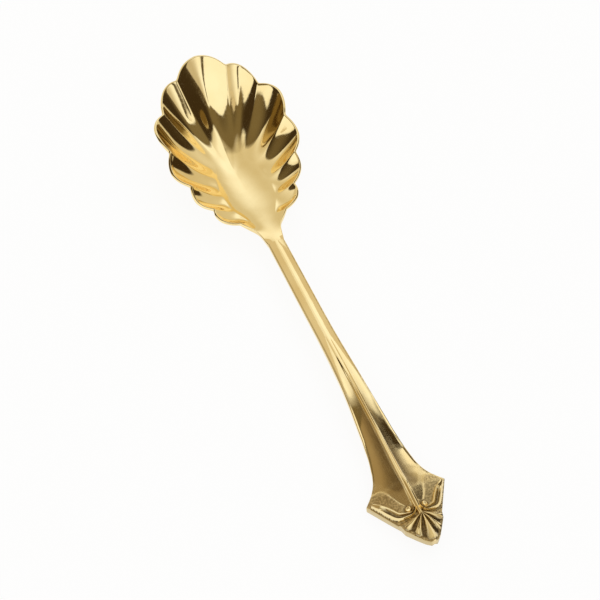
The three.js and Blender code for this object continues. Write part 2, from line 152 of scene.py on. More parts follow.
# Ornament of the handle's end
SOLDER = 0.3
SINK = 0.25
BEAD_RADIUS = 1.2
BEAD_HOLLOW = 0.35
BEAD_HOLLOW_REACH = (1, 2.3)
BEAD_FOOT = 0.1
BEAD_HEIGHT = 1.3
BEAD_AT = np.array([CORNER_X - 9, 3.3])
CURL_RADIUS = BEAD_RADIUS + 1.1
CURL_ANGLES = [146, 190, 223, 252]
SCROLL_INSETS = [[1.6, 1.2], [5.6, 1.9], [9.2, 2.2], [12.6, 2.6]]
SCROLL_HALF = [0.7, 1.35, 1.65, 1.5, 1.1, 0.85, 0.65, 0.45]
SCROLL_FLOOR = 0.3
SCROLL_BORDER = 1.1
SCROLL_RIDGE = (0.63, 0.32)
SCROLL_OPEN = (0.4, 1.7)
SCROLL_CURVE = 4
FAN_HUB = BEAD_AT[0] - 4.3
FAN_MARGIN = 0.3
FAN_HALF_ANGLE = 82
FAN_FLOOR = 0.3
RIB_END = FAN_HUB
PETAL_ANGLES = np.array([-70, -34, 0, 34, 70])
PETAL_HALF_ANGLE = 12.5
PETAL_HEIGHT = 1.2
PETAL_NOTCH = 0.1
PETAL_SWELL = (0, 0.4)
PETAL_FALL = (0.7, 1)
HUB_SHARE = 0.45
HUB_ROUND = (0, 0.12)
END_SHARE = 0.65

# Steps of the meshes
TIP_LOBE_STEPS = 16
LOBE_STEPS = 26
LOBE_BUNCH = 0.85
NECK_STEPS = 33
WALL_STEPS = 56
EDGE_STEPS = 12
ACROSS_STEPS = 81
ACROSS_EVEN = 0.35
UNDER_STEPS = 41
STEM_ROWS = 150
FLARE_ROWS = 60
END_ROWS = 80
SCROLL_ROWS = 150
SCROLL_STEPS = 41
BEAD_ROWS = 14
BEAD_STEPS = 41
FAN_ROWS = 241
FAN_STEPS = 40

# Brass: colours and roughness of the three finishes
POLISHED_COLOUR = (0.95, 0.78, 0.42)
STRUCK_COLOUR = (0.93, 0.76, 0.41)
# Brown patina, which also paints shade along the handle's edges, on its end walls and round the beads
BROWN_PATINA_AND_SHADE = (0.25, 0.17, 0.07)
DARK_PATINA = (0.083, 0.046, 0.017)
TARNISH = (0.94, 0.9, 0.82)
POLISHED_ROUGH = 0.06
STRUCK_ROUGH = 0.1
RELIEF_ROUGH = 0.12

# Surface of the brass: scale and detail of each noise, ranges and shares of it, and heights in metres
CLOUD_NOISE = (60, 3)
CLOUD_RANGE = (0.35, 0.65)
STREAK_NOISE = (1.5, 4)
STREAK_RANGE = (0.3, 0.7)
STREAK_PATINA_AND_SHADE = (0.75, 1.1)
GRAIN_NOISE = (1300, 3)
GRAIN_PATINA_FROM = (0.5, 1)
SPOT_RANGE = (0.4, 0.62)
SPOT_PATINA = (0.7, 0.15)
PATINA_AND_SHADE_MOST = 0.9
PATINA_AND_SHADE_ROUGH = 0.2
GRAIN_ROUGH = 0.3
GLOSS_NOISE = (900, 4)
GLOSS_RANGE = (0.3, 0.7)
GLOSS_SHARE = (0.7, 1.5)
WAVE_NOISE = (220, 2)
WAVE_HEIGHT = 0.00002
LINE_HEIGHT = 0.000004
GRAIN_HEIGHT = 0.00006
BOWL_FLOW = (9, 2)
BOWL_FLOW_APART = 5
HANDLE_FLOW = (0.12, 2.5, 2.5)

# Studio: a pale dome before the spoon and a pale floor, in metres
WHITE = (1, 1, 1)
DOME_LOW = (0.735, 0.67, 0.525)
DOME_HIGH = (1.13, 1.15, 1.18)
DOME_MIDDLE = 0.3
DOME_SIDE = (0, 0.65)
DOME_FAR = (0.85, 1.1)
DOME_FAR_SHARE = 0.8
DOME_RISE = (0.4, 0.68)
NEAR_HIGH = (1.13, 1.15, 1.165)
NEAR_LOW = (0.62, 0.555, 0.44)
NEAR_FALL = (-0.13, -0.5)
NEAR_FROM = (0.15, -0.05)
FLOOR_HALF = 3.0
FLOOR_TONE = (0.95, 0.95, 0.95)
FLOOR_ROUGH = 0.9
FLOOR_GLOW = 0.9
FLOOR_CLEAR = 0.002

# Dark room behind the camera: a band on a sphere round the bowl and a stand in it, with angles in degrees
ROOM_AXIS = (0.807, -0.142, 0.574)
ROOM_CENTRE = (0.005, 0, 0.014)
ROOM_RADIUS = 0.25
ROOM_STEPS = 96
ROOM_TURN = (-24, 192)
ROOM_TOP = 90
ROOM_SIDE = 50
ROOM_EDGE = [82, 76, 66, 70, 66, 58, 53, 60, 60, 62]
ROOM_EDGE_SOFT = (1.5, 6)
ROOM_EDGE_HARD_FROM = (0.3, 1)
ROOM_LOW = [86, 88, 105, 104, 102, 106, 97, 83, 84, 86]
ROOM_LOW_SOFT = 0.7
ROOM_DARK_FROM = (0.4, 1.3)
ROOM_TOP_TONE = (0.2, 0.155, 0.08)
ROOM_SIDE_TONE = (0.048, 0.031, 0.014)
STAND_TURN = [75, 77.5, 81.5, 84]
STAND_LOW = (108, 126)
STAND_SHADE = 0.6
BAND_COVER = (0, 1, 1, 0)

# Cards beside and above the handle, by their corners in metres
WHITE_CARDS = [
    [(-0.137, -0.056, 0.019), (-0.115, -0.056, 0.019), (-0.115, -0.056, 0.055), (-0.137, -0.056, 0.055)],
    [(-0.176, -0.021, 0.04), (-0.09, -0.015, 0.04), (-0.09, -0.002, 0.04), (-0.176, 0.004, 0.04)],
]
WHITE_CARD_TONE = (1.14, 1.13, 1.1)
GREY_CARDS = [
    [(-0.165, 0.013, 0.045), (-0.075, 0.013, 0.045), (-0.075, 0.06, 0.045), (-0.165, 0.06, 0.045)],
]
GREY_CARD_TONE = (0.38, 0.29, 0.17)
PALE_CARDS = [
    [(-0.1, -0.055, 0.042), (-0.01, -0.055, 0.042), (-0.01, -0.021, 0.042), (-0.1, -0.021, 0.042)],
    [(-0.1, -0.001, 0.042), (-0.01, -0.001, 0.042), (-0.01, 0.013, 0.042), (-0.1, 0.013, 0.042)],
]
PALE_CARD_TONE = (0.76, 0.68, 0.54)

# Camera: lens and sensor in millimetres, place in metres
LENS = 156
SENSOR = 36
CLIP = (0.05, 20)
CAMERA_AT = (-0.6009, 0.2342, 0.8129)
CAMERA_RIGHT = (-0.3971, -0.9178, 0)
CAMERA_BACK = (-0.5395, 0.2334, 0.8090)


def smooth(x, start, end):
    k = np.clip((np.asarray(x, float) - start) / (end - start), 0, 1)
    return k * k * (3 - 2 * k)


def mix(a, b, k):
    return a + (b - a) * k


def through(values, t, before=None):
    """A smooth curve through a list of numbers, with t counting its entries."""
    values = np.asarray(values, float)
    last = len(values) - 1
    t = np.clip(t, 0, last)
    i = np.minimum(np.floor(t).astype(int), last - 1)
    f = t - i
    first = 2 * values[0] - values[1] if before is None else before
    padded = np.concatenate([[first], values, [2 * values[-1] - values[-2]]])
    a, b, c, d = (padded[i + k] for k in range(4))
    cubic = 3 * b - a - 3 * c + d
    return 0.5 * (2 * b + (c - a) * f + (2 * a - 5 * b + 4 * c - d) * f * f + cubic * f ** 3)


def unit(v):
    return v / np.maximum(np.linalg.norm(v, axis=-1, keepdims=True), 1e-12)


# Meshes from grids of points in millimetres: each grid comes with its patina and painted shade, its grain
# and its polish lines
def build(name, grids, node, material):
    points, shade, coarse, lines, faces = [], [], [], [], []
    for grid, patina_and_shade, grain, flow in grids:
        rows, cols = grid.shape[:2]
        start = sum(len(p) for p in points)
        index = start + np.arange(rows * cols).reshape(rows, cols)
        points.append(grid.reshape(-1, 3))
        shade.append(np.broadcast_to(patina_and_shade, (rows, cols)).reshape(-1))
        coarse.append(np.broadcast_to(grain, (rows, cols)).reshape(-1))
        lines.append(grid.reshape(-1, 3) if flow is None else flow.reshape(-1, 3))
        quads = np.stack([index[:-1, :-1], index[1:, :-1], index[1:, 1:], index[:-1, 1:]], -1)
        faces.extend(quads.reshape(-1, 4).tolist())
    mesh = bpy.data.meshes.new(name)
    mesh.from_pydata((np.concatenate(points) * MM).tolist(), [], faces)
    for label, values in (("patina_and_shade", shade), ("grain", coarse)):
        layer = mesh.attributes.new(label, "FLOAT", "POINT")
        layer.data.foreach_set("value", np.concatenate(values).astype(np.float32))
    layer = mesh.attributes.new("flow", "FLOAT_VECTOR", "POINT")
    layer.data.foreach_set("vector", np.concatenate(lines).astype(np.float32).reshape(-1))
    work = bmesh.new()
    work.from_mesh(mesh)
    bmesh.ops.remove_doubles(work, verts=work.verts, dist=WELD)
    bmesh.ops.dissolve_degenerate(work, edges=work.edges, dist=SLIVER)
    bmesh.ops.recalc_face_normals(work, faces=work.faces)
    for edge in work.edges:
        if len(edge.link_faces) == 2 and edge.calc_face_angle(0) > SHARP_ANGLE:
            edge.smooth = False
    for face in work.faces:
        face.smooth = True
    work.to_mesh(mesh)
    work.free()
    piece = bpy.data.objects.new(name, mesh)
    bpy.context.scene.collection.objects.link(piece)
    piece.data.materials.append(material)
    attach(piece, "root")
    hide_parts(node)


def edge_curve(top, bottom, outward, bulge, sharp, steps):
    """Rounded edge from a top row of points to a bottom row."""
    angle = np.linspace(0, math.pi, steps + 1)
    c = np.sign(np.cos(angle)) * np.abs(np.cos(angle)) ** (2 / np.expand_dims(sharp, -1))
    w = np.clip(np.sin(angle), 0, 1) ** (2 / np.expand_dims(sharp, -1))
    centre = ((top + bottom) / 2)[..., None, :]
    half = ((top - bottom) / 2)[..., None, :]
    return centre + half * c[..., None] + (outward * bulge)[..., None, :] * w[..., None]


# Bowl
def dish(place, s):
    """The bowl without flutes: s runs from 0 on the spine to 1 at the rim."""
    p = np.abs(place)
    rim = np.stack([through(RIM[:, k], p, RIM_BEFORE[k]) for k in range(3)], -1)
    side = mix(WALL_CURVE_TIP, WALL_CURVE_SIDE, smooth(p, *WALL_CHANGE))
    power = mix(side, FACET_CURVE, smooth(p, LOBES, NECK_PLACE))
    ease = SPINE_ROUND * (1 - smooth(p, LOBES + 1, NECK_PLACE))

    def eased(k):
        return (k * k + ease * ease) ** (power / 2)

    climb = (eased(s) - eased(0 * s)) / (eased(1 + 0 * s) - eased(0 * s))
    x = mix(through(SPINE_X, p), rim[..., 0], s)
    y = np.sign(place) * rim[..., 1] * s
    z = mix(through(SPINE_Z, p), rim[..., 2], climb)
    return np.stack([x, y, z], -1)


def dish_normal(place, s):
    inside = np.maximum(s, NORMAL_FROM)
    along = dish(np.minimum(place + NORMAL_STEP, NECK_PLACE), inside) - dish(place - NORMAL_STEP, inside)
    across = dish(place, inside + NORMAL_STEP) - dish(place, inside)
    normal = unit(np.cross(along, across))
    normal = np.where(normal[..., 2:] < 0, -normal, normal)
    normal[..., 1] *= smooth(s, 0, SPINE_LEVEL)
    return unit(mix(normal, np.array([0, 0, 1.0]), smooth(place, LOBES, NECK_PLACE)[..., None]))


def trough(place, s):
    """0 on the crests between the lobes and 1 in the middle of each flute."""
    across = np.where(place < 1, place, 2 * (place - np.floor(place)) - 1)
    edge = np.sqrt((1 - np.abs(across)) ** 2 + CREASE_ROUND ** 2) - CREASE_ROUND
    bowed = 1 - (1 - edge) ** 2
    waved = (1 - np.cos(math.pi * edge)) / 2
    soft = CREST_SOFT * (1 - smooth(s, *CREST_SHARP))
    return np.where(place >= LOBES, 0, mix(bowed, waved, soft))


def bowl_walls(place, s):
    """Inner and outer side of the fluted bowl."""
    lobe = np.minimum(np.floor(place), LOBES - 1).astype(int)
    scoop = trough(place, s)
    reach = s * (1 + LOBE_REACH[lobe] * scoop)
    normal = dish_normal(place, reach)
    crease = np.minimum(place, LOBES)
    start, full = through(FLUTE_START, crease), through(FLUTE_FULL, crease)
    k = np.clip((reach - start) / (full - start), 0, 1)
    soft = k * k * (3 - 2 * k)
    even = k ** mix(1, GOUGE, smooth(place, *GOUGE_FROM))
    grown = mix(soft, even, smooth(place, *FLUTE_EVEN))
    inner = dish(place, reach) - normal * (FLUTE_DEPTH[lobe] * scoop * grown)[..., None]
    neck = smooth(place, LOBES, NECK_PLACE)
    thin = smooth(s, *WALL_THIN) * (1 - smooth(place, LOBES, LOBES + 1))
    wall = mix(through(SPINE_WALL, place), RIM_WALL, thin) - FACET_DROP * s ** FACET_CURVE * neck
    outer = inner - normal * wall[..., None]
    outer[..., 2] = np.maximum(outer[..., 2], 0)
    outer[..., 1] *= 1 - neck * UNDER_INSET / NECK_HALF
    return inner, outer


def bowl_places():
    """Places from the tip to the neck, closer together at the creases."""
    half_lobe = np.sin(np.linspace(0, math.pi / 2, TIP_LOBE_STEPS, endpoint=False))
    whole = np.linspace(-1, 1, LOBE_STEPS, endpoint=False)
    whole = mix(whole, np.sin(whole * math.pi / 2), LOBE_BUNCH)
    lobes = [lobe + (whole + 1) / 2 for lobe in range(1, LOBES)]
    return np.concatenate([half_lobe, *lobes, np.linspace(LOBES, NECK_PLACE, NECK_STEPS)])


def make_bowl(material):
    places = bowl_places()
    near = 0.1
    last = dish(places, np.ones_like(places)) - dish(places, np.full_like(places, 1 - near))
    stop = 1 - near * EDGE_BULGE / np.linalg.norm(last, axis=-1)
    place, s = np.meshgrid(places, np.linspace(0, 1, WALL_STEPS), indexing="ij")
    inner, outer = bowl_walls(place, s * stop[:, None])
    outward = unit(inner[:, -1] - inner[:, -3])
    sharp = mix(RIM_SHARP, EDGE_SHARP, smooth(places, LOBES, NECK_PLACE))
    rim = edge_curve(inner[:, -1], outer[:, -1], outward, EDGE_BULGE, sharp, EDGE_STEPS)
    section = np.concatenate([inner, rim[:, 1:-1], outer[:, ::-1]], axis=1)
    around = np.arange(section.shape[1]) / WALL_STEPS
    flow = np.broadcast_arrays(places[:, None] * BOWL_FLOW[0], around * BOWL_FLOW[1], 0 * around)
    flow = np.stack(flow, -1)
    grids = []
    for side in (1, -1):
        grids.append((section * [1, side, 1], 0, 0, flow + [0, 0, BOWL_FLOW_APART * side]))
        end = section[-1] * [1, side, 1]
        half = len(end) // 2
        grids.append((np.stack([end[:half], end[::-1][:half]]), 0, 0, None))
    build("shell_bowl", grids, node="bowl", material=material)


# Handle
def ridge(x):
    return STEM_TOP + HANDLE_RISE * smooth(x, *RISE) - TIP_DROP * smooth(x, *DIP)


def beside_rib(x, y):
    """0 on the rib's crown and 1 from its foot outwards."""
    crown = mix(*RIB_TOP, smooth(x, *RIB_GROW))
    crown = mix(crown, RIB_TIP, smooth(x, BEAD_AT[0], FAN_HUB))
    return smooth(np.abs(y), crown, crown + RIB_SIDE)


def from_bead(x, y):
    """Distance from the nearer bead's middle, in bead radii."""
    return np.hypot(x - BEAD_AT[0], np.abs(y) - BEAD_AT[1]) / BEAD_RADIUS


def ground(x, y, half, drop, beside):
    """Top of the handle's end under the ornament, with the rib on it and a flat lip along the flare."""
    rib = RIB_HEIGHT * beside * smooth(x, RIB_END, RIB_END + RIB_FADE)
    curve = COVE_CURVE - COVE_EASE * smooth(x, *COVE_EASE_IN) * smooth(x, *COVE_EASE_OUT)
    lip = EDGE_LIP * smooth(x, *LIP_IN) * smooth(x, *LIP_OUT)
    out = np.minimum(np.abs(y) / (half - lip), 1)
    hollow = BEAD_HOLLOW * (1 - smooth(from_bead(x, y), *BEAD_HOLLOW_REACH))
    return ridge(x) - rib - hollow - np.maximum(drop - RIB_HEIGHT, 0) * out ** curve


def slanted(pair, y):
    """A value that changes from beside the rib to the corners."""
    return mix(*pair, smooth(np.abs(y), *OUTWARD))


def polished_share(x, y):
    """1 on the polished coves and the stem, 0 on the struck ground round the ornament."""
    stop = slanted(GROUND_START, y)
    return smooth(x, stop - GROUND_SOFT, stop + GROUND_SOFT)


def cove_end(x, y, half):
    """Rise of the coves to a low crest, and the ramp from it down to the struck ground."""
    crest, foot = slanted(RAMP_START, y), slanted(GROUND_START, y)
    bulge = smooth(x, RAMP_FAR, crest) * np.clip((x - foot) / (crest - foot), 0, 1)
    return RAMP * bulge * beside_rib(x, y) * (1 - (np.abs(y) / half) ** RAMP_CURVE)


def handle_top(x, y, half, drop):
    """Two facets on the stem, which turn into two coves with the rib between them."""
    out = np.abs(y) / half
    creased = FACET_EVEN * out + (1 - FACET_EVEN) * out ** 3
    facet = ridge(x) - FACET_DROP * mix(out ** FACET_CURVE, creased, smooth(x, *FACET_CREASE))
    step = GROUND_STEP * polished_share(x, y) * beside_rib(x, y)
    hollowed = smooth(x - COVE_SLANT * np.clip(1 - out, 0, 1), *COVE)
    struck = ground(x, y, half, drop, beside_rib(x, y))
    return mix(facet, struck - step + cove_end(x, y, half), hollowed)


def handle_shade(x, y, half):
    """Darkening beside the rib, painted shade along the edges, painted shadow round the beads, and the grain
    of the struck ground.
    """
    out = np.abs(y)
    beside = beside_rib(x, y)
    # Darker at the foot of the rib in the coves
    foot = beside * (1 - smooth(out / half, *FOOT_DARKENING)) * smooth(x, *COVE)
    # Painted shade: a dark line along each edge of the top, which stops at the lip
    line = EDGE_SHADE * smooth(out / half, *EDGE_LINE) * smooth(x, *EDGE_LINE_IN)
    line *= 1 - smooth(out, half - EDGE_LINE_LIP * EDGE_LIP, half - EDGE_LIP) * smooth(x, *LIP_IN)
    polished = polished_share(x, y)
    crest = slanted(RAMP_START, y)
    satin = SATIN * (1 - smooth(x, crest - SATIN_SOFT, crest + SATIN_SOFT))
    # Painted shadow: a dark ring on the ground round each bead
    ring = BEAD_SHADOW * (1 - smooth(from_bead(x, y), *BEAD_RING)) * beside
    patina_and_shade = np.maximum(np.maximum(foot, line) * polished * (1 - satin), ring)
    return patina_and_shade, np.maximum(1 - polished, satin) * beside


def handle_under(x, y, half, drop):
    arch = np.maximum(drop - FACET_DROP, 0) * (np.abs(y) / half) ** COVE_CURVE
    depth = mix(NECK_DEPTH, END_DEPTH, smooth(x, *THICKEN)) - TIP_THIN * smooth(x, *THIN)
    return np.maximum(ridge(x) - depth - arch * smooth(x, *COVE), 0)


def side_at(x):
    """Half width and edge drop of the handle at each x between the neck and the corners."""
    t = np.interp(-x, -HANDLE_SIDE[:, 0], np.arange(len(HANDLE_SIDE)))
    return through(HANDLE_SIDE[:, 1], t), through(HANDLE_SIDE[:, 2], t)


def handle_grid(x, width, half, drop):
    """Closed rows round the handle: the top, the left edge, the underside and the right edge."""
    e = np.linspace(-1, 1, ACROSS_STEPS)
    e = ACROSS_EVEN * e + (1 - ACROSS_EVEN) * e ** 3
    flat = np.maximum(width - EDGE_BULGE, LEAST_HALF)
    y = flat[:, None] * e
    column = [v[:, None] for v in (x, half, drop)]
    top = np.stack([x[:, None] + 0 * y, y, handle_top(column[0], y, column[1], column[2])], -1)
    low = np.maximum(flat - UNDER_INSET, flat / 2)
    yu = low[:, None] * np.linspace(-1, 1, UNDER_STEPS)
    under = np.stack([x[:, None] + 0 * yu, yu, handle_under(column[0], yu, column[1], column[2])], -1)
    sharp = np.full(len(x), EDGE_SHARP)
    aside = np.array([0, 1.0, 0])
    left = edge_curve(top[:, -1], under[:, -1], aside, EDGE_BULGE, sharp, EDGE_STEPS)
    right = edge_curve(top[:, 0], under[:, 0], -aside, EDGE_BULGE, sharp, EDGE_STEPS)
    ring = [top, left[:, 1:-1], under[:, ::-1], right[:, 1:-1][:, ::-1], top[:, :1]]
    patina_and_shade, grain = np.zeros((2, len(x), sum(part.shape[1] for part in ring)))
    # Painted shade: the walls and underside of the end beyond the corners are darkened
    patina_and_shade[:] = WALL_SHADE * smooth(column[0], *WALL_SHADE_FROM)
    patina_and_shade[:, :len(e)], grain[:, :len(e)] = handle_shade(column[0], y, column[1])
    points = np.concatenate(ring, axis=1)
    return points, patina_and_shade, grain, points * HANDLE_FLOW


def with_caps(rows):
    """The rows of a length of handle, and a fan of quads that closes each end."""
    grids = [rows]
    for k in (0, -1):
        points, patina_and_shade, grain, flow = (part[k] for part in rows)
        middle = np.broadcast_to(points[:-1].mean(0), points.shape)
        grids.append((np.stack([points, middle]), patina_and_shade, grain, np.stack([flow, flow])))
    return grids


def make_stem(material):
    x = np.linspace(NECK_X, JOINT_X, STEM_ROWS)
    width, drop = side_at(x)
    rows = handle_grid(x, width, width, drop)
    build("ridged_stem", with_caps(rows), node="stem", material=material)


def make_end_piece(material):
    flare = np.linspace(JOINT_X, CORNER_X, FLARE_ROWS)
    width, drop = side_at(flare)
    past = np.linspace(CORNER_X, TIP_X, END_ROWS)[1:]
    narrow = np.interp(-past, -END_EDGE[:, 0], END_EDGE[:, 1])
    x = np.concatenate([flare, past])
    widths = np.concatenate([width, narrow])
    halves = np.concatenate([width, np.full(len(past), CORNER_HALF)])
    drops = np.concatenate([drop, np.full(len(past), CORNER_DROP)])
    rows = handle_grid(x, widths, halves, drops)
    build("handle_end", with_caps(rows), node="end_piece", material=material)


# Ornament
def seat(x, y):
    """Height of the ground, as if the rib were not on it."""
    return ground(x, y, CORNER_HALF, CORNER_DROP, 1)


def plate(name, top, patina_and_shade, node, material):
    """A raised piece whose foot is sunk into the handle's end."""
    base = np.stack([top[..., 0], top[..., 1], seat(top[..., 0], top[..., 1]) - SINK], -1)
    grids = [(top, patina_and_shade, 0, None), (base, 1, 0, None)]
    for a, b in ((top[0], base[0]), (top[-1], base[-1]), (top[:, 0], base[:, 0]), (top[:, -1], base[:, -1])):
        grids.append((np.stack([a, b]), 1, 0, None))
    build(name, grids, node=node, material=material)


def scroll_path():
    """Middle line of the left scroll: along the end's edge from the corner, then round the bead."""
    corner, notch = END_EDGE[:2]
    ux, uy = (notch - corner) / np.linalg.norm(notch - corner)
    path = [[corner[0] + ux * a - uy * b, corner[1] + uy * a + ux * b] for a, b in SCROLL_INSETS]
    for degrees in CURL_ANGLES:
        angle = math.radians(degrees)
        path.append([BEAD_AT[0] + CURL_RADIUS * math.cos(angle), BEAD_AT[1] + CURL_RADIUS * math.sin(angle)])
    return np.array(path)


def make_scroll(name, side, node, material):
    path = scroll_path()
    t = np.linspace(0, len(path) - 1, SCROLL_ROWS)
    x, y = through(path[:, 0], t), through(path[:, 1], t)
    tangent = unit(np.stack([np.gradient(x), np.gradient(y)], -1))
    half = through(SCROLL_HALF, t)
    e = np.linspace(-1, 1, SCROLL_STEPS)
    px = x[:, None] + half[:, None] * tangent[:, 1:] * e
    py = y[:, None] - half[:, None] * tangent[:, :1] * e
    border = np.exp(-((np.abs(e) - SCROLL_RIDGE[0]) / SCROLL_RIDGE[1]) ** 2)
    closed = np.maximum(border, 1 - e ** SCROLL_CURVE)
    opened = smooth(t, *SCROLL_OPEN)[:, None]
    groove = opened * np.where(np.abs(e) < SCROLL_RIDGE[0], 1 - border, 0)
    height = SOLDER + SCROLL_FLOOR + SCROLL_BORDER * mix(closed, border, opened)
    top = np.stack([px, side * py, seat(px, py) + height], -1)
    plate(name, top, groove, node, material)


def make_bead(name, side, node, material):
    r = np.sin(np.linspace(0, math.pi / 2, BEAD_ROWS))
    a = np.linspace(0, 2 * math.pi, BEAD_STEPS)
    x = BEAD_AT[0] + BEAD_RADIUS * r[:, None] * np.cos(a)
    y = BEAD_AT[1] + BEAD_RADIUS * r[:, None] * np.sin(a)
    rise = SOLDER + BEAD_FOOT + BEAD_HEIGHT * np.sqrt(1 - np.clip(r, 0, 1) ** 2)[:, None]
    top = np.stack([x, side * y, seat(x, y) + rise], -1)
    base = np.stack([x, side * y, seat(x, y) - SINK], -1)
    grids = [(top, 0, 0, None), (base, 1, 0, None), (np.stack([top[-1], base[-1]]), 1, 0, None)]
    build(name, grids, node=node, material=material)


def fan_reach(angle):
    """Distance from the palmette's hub to the end's edge in each direction, less a margin."""
    ux, uy = -np.cos(angle), np.abs(np.sin(angle))
    best = np.full_like(angle, FAN_HUB - TIP_X)
    for (x0, y0), (x1, y1) in zip(END_EDGE[:-1], END_EDGE[1:]):
        dx, dy = x1 - x0, y1 - y0
        cross = ux * dy - uy * dx
        t = ((x0 - FAN_HUB) * dy - y0 * dx) / cross
        w = ((x0 - FAN_HUB) * uy - y0 * ux) / cross
        best = np.where((t > 0) & (w >= 0) & (w <= 1), np.minimum(best, t), best)
    return best - FAN_MARGIN


def make_palmette(material):
    degrees = np.linspace(-FAN_HALF_ANGLE, FAN_HALF_ANGLE, FAN_ROWS)
    angle = np.radians(degrees)
    off = np.abs(degrees[:, None] - PETAL_ANGLES).min(1) / PETAL_HALF_ANGLE
    petal = np.maximum(1 - off * off, 0)
    reach = fan_reach(angle) * (1 - PETAL_NOTCH + PETAL_NOTCH * petal)
    r = np.linspace(0, 1, FAN_STEPS)
    x = FAN_HUB - reach[:, None] * r * np.cos(angle)[:, None]
    y = -reach[:, None] * r * np.sin(angle)[:, None]
    swell = mix(HUB_SHARE, 1, smooth(r, *PETAL_SWELL)) * mix(1, END_SHARE, smooth(r, *PETAL_FALL))
    rise = FAN_FLOOR + PETAL_HEIGHT * petal[:, None] * swell
    hub = FAN_FLOOR + PETAL_HEIGHT * HUB_SHARE
    rise = mix(hub, rise, smooth(r, *HUB_ROUND))
    top = np.stack([x, y, seat(x, y) + SOLDER + rise], -1)
    plate("palmette_relief", top, 1 - petal[:, None] + 0 * rise, "palmette", material)


# Shader nodes, each of which gives back its output
def calculate(tree, kind, a, b):
    """One operation on two values, which are numbers or sockets."""
    node = tree.nodes.new("ShaderNodeMath")
    node.operation = kind
    for socket, value in zip(node.inputs, (a, b)):
        if isinstance(value, (int, float)):
            socket.default_value = value
        else:
            tree.links.new(value, socket)
    return node.outputs["Value"]


def spread(tree, source, before, after=(0, 1), soft=False):
    """A value moved from one range to another, and held within it."""
    node = tree.nodes.new("ShaderNodeMapRange")
    if soft:
        node.interpolation_type = "SMOOTHSTEP"
    node.inputs["From Min"].default_value = before[0]
    node.inputs["From Max"].default_value = before[1]
    node.inputs["To Min"].default_value = after[0]
    node.inputs["To Max"].default_value = after[1]
    tree.links.new(source, node.inputs["Value"])
    return node.outputs["Result"]


def blend(tree, a, b, factor):
    """A colour between two, which are tuples or sockets."""
    node = tree.nodes.new("ShaderNodeMix")
    node.data_type = "RGBA"
    for label, colour in (("A", a), ("B", b)):
        if isinstance(colour, tuple):
            node.inputs[label].default_value = (*colour, 1)
        else:
            tree.links.new(colour, node.inputs[label])
    tree.links.new(factor, node.inputs["Factor"])
    return node.outputs["Result"]


def noise(tree, vector, scale, detail):
    node = tree.nodes.new("ShaderNodeTexNoise")
    node.inputs["Scale"].default_value = scale
    node.inputs["Detail"].default_value = detail
    tree.links.new(vector, node.inputs["Vector"])
    return node.outputs["Fac"]


def attribute(tree, label, kind="Fac"):
    node = tree.nodes.new("ShaderNodeAttribute")
    node.attribute_name = label
    return node.outputs[kind]


def bump(tree, height, distance, normal=None):
    node = tree.nodes.new("ShaderNodeBump")
    node.inputs["Distance"].default_value = distance
    tree.links.new(height, node.inputs["Height"])
    if normal is not None:
        tree.links.new(normal, node.inputs["Normal"])
    return node.outputs["Normal"]


def layered(tree, under, over, share):
    """One shader over another, as the surface of the material."""
    node = tree.nodes.new("ShaderNodeMixShader")
    tree.links.new(share, node.inputs["Fac"])
    tree.links.new(under, node.inputs[1])
    tree.links.new(over, node.inputs[2])
    tree.links.new(node.outputs["Shader"], tree.nodes["Material Output"].inputs["Surface"])


# Materials
def brass(name, colour, patina_and_shade_colour, rough):
    """Brass with faint clouds, waves and polish lines, patina in the recesses and painted shade, and grain
    where struck.
    """
    material = bpy.data.materials.new(name)
    material.use_nodes = True
    tree = material.node_tree
    shader = tree.nodes["Principled BSDF"]
    shader.inputs["Metallic"].default_value = 1.0
    where = tree.nodes.new("ShaderNodeTexCoord").outputs["Object"]
    patina_and_shade = attribute(tree, "patina_and_shade")
    grain = attribute(tree, "grain")
    streaks = noise(tree, attribute(tree, "flow", "Vector"), *STREAK_NOISE)
    pitted = noise(tree, where, *GRAIN_NOISE)

    tarnished = tuple(c * k for c, k in zip(colour, TARNISH))
    cloudy = spread(tree, noise(tree, where, *CLOUD_NOISE), CLOUD_RANGE)
    tone = blend(tree, colour, tarnished, cloudy)
    # Patina and painted shade, broken up by the polish streaks
    streaked_patina_and_shade = calculate(tree, "MULTIPLY", patina_and_shade, spread(tree, streaks, STREAK_RANGE, STREAK_PATINA_AND_SHADE))
    spots = spread(tree, pitted, SPOT_RANGE, SPOT_PATINA)
    mottle = calculate(tree, "MULTIPLY", spread(tree, grain, GRAIN_PATINA_FROM), spots)
    stain_and_shade = calculate(tree, "MAXIMUM", streaked_patina_and_shade, mottle)
    stained_and_shaded = blend(tree, tone, patina_and_shade_colour, spread(tree, stain_and_shade, (0, 1), (0, PATINA_AND_SHADE_MOST)))
    tree.links.new(stained_and_shaded, shader.inputs["Base Color"])

    gloss = spread(tree, noise(tree, where, *GLOSS_NOISE), GLOSS_RANGE, [rough * k for k in GLOSS_SHARE])
    stain_and_shade_rough = spread(tree, stain_and_shade, (0, 1), (0, PATINA_AND_SHADE_ROUGH))
    dull = calculate(tree, "MAXIMUM", stain_and_shade_rough, calculate(tree, "MULTIPLY", grain, GRAIN_ROUGH))
    tree.links.new(calculate(tree, "ADD", gloss, dull), shader.inputs["Roughness"])

    waves = bump(tree, noise(tree, where, *WAVE_NOISE), WAVE_HEIGHT)
    lines = bump(tree, streaks, LINE_HEIGHT, waves)
    pits = bump(tree, calculate(tree, "MULTIPLY", grain, pitted), GRAIN_HEIGHT, lines)
    tree.links.new(pits, shader.inputs["Normal"])
    return material


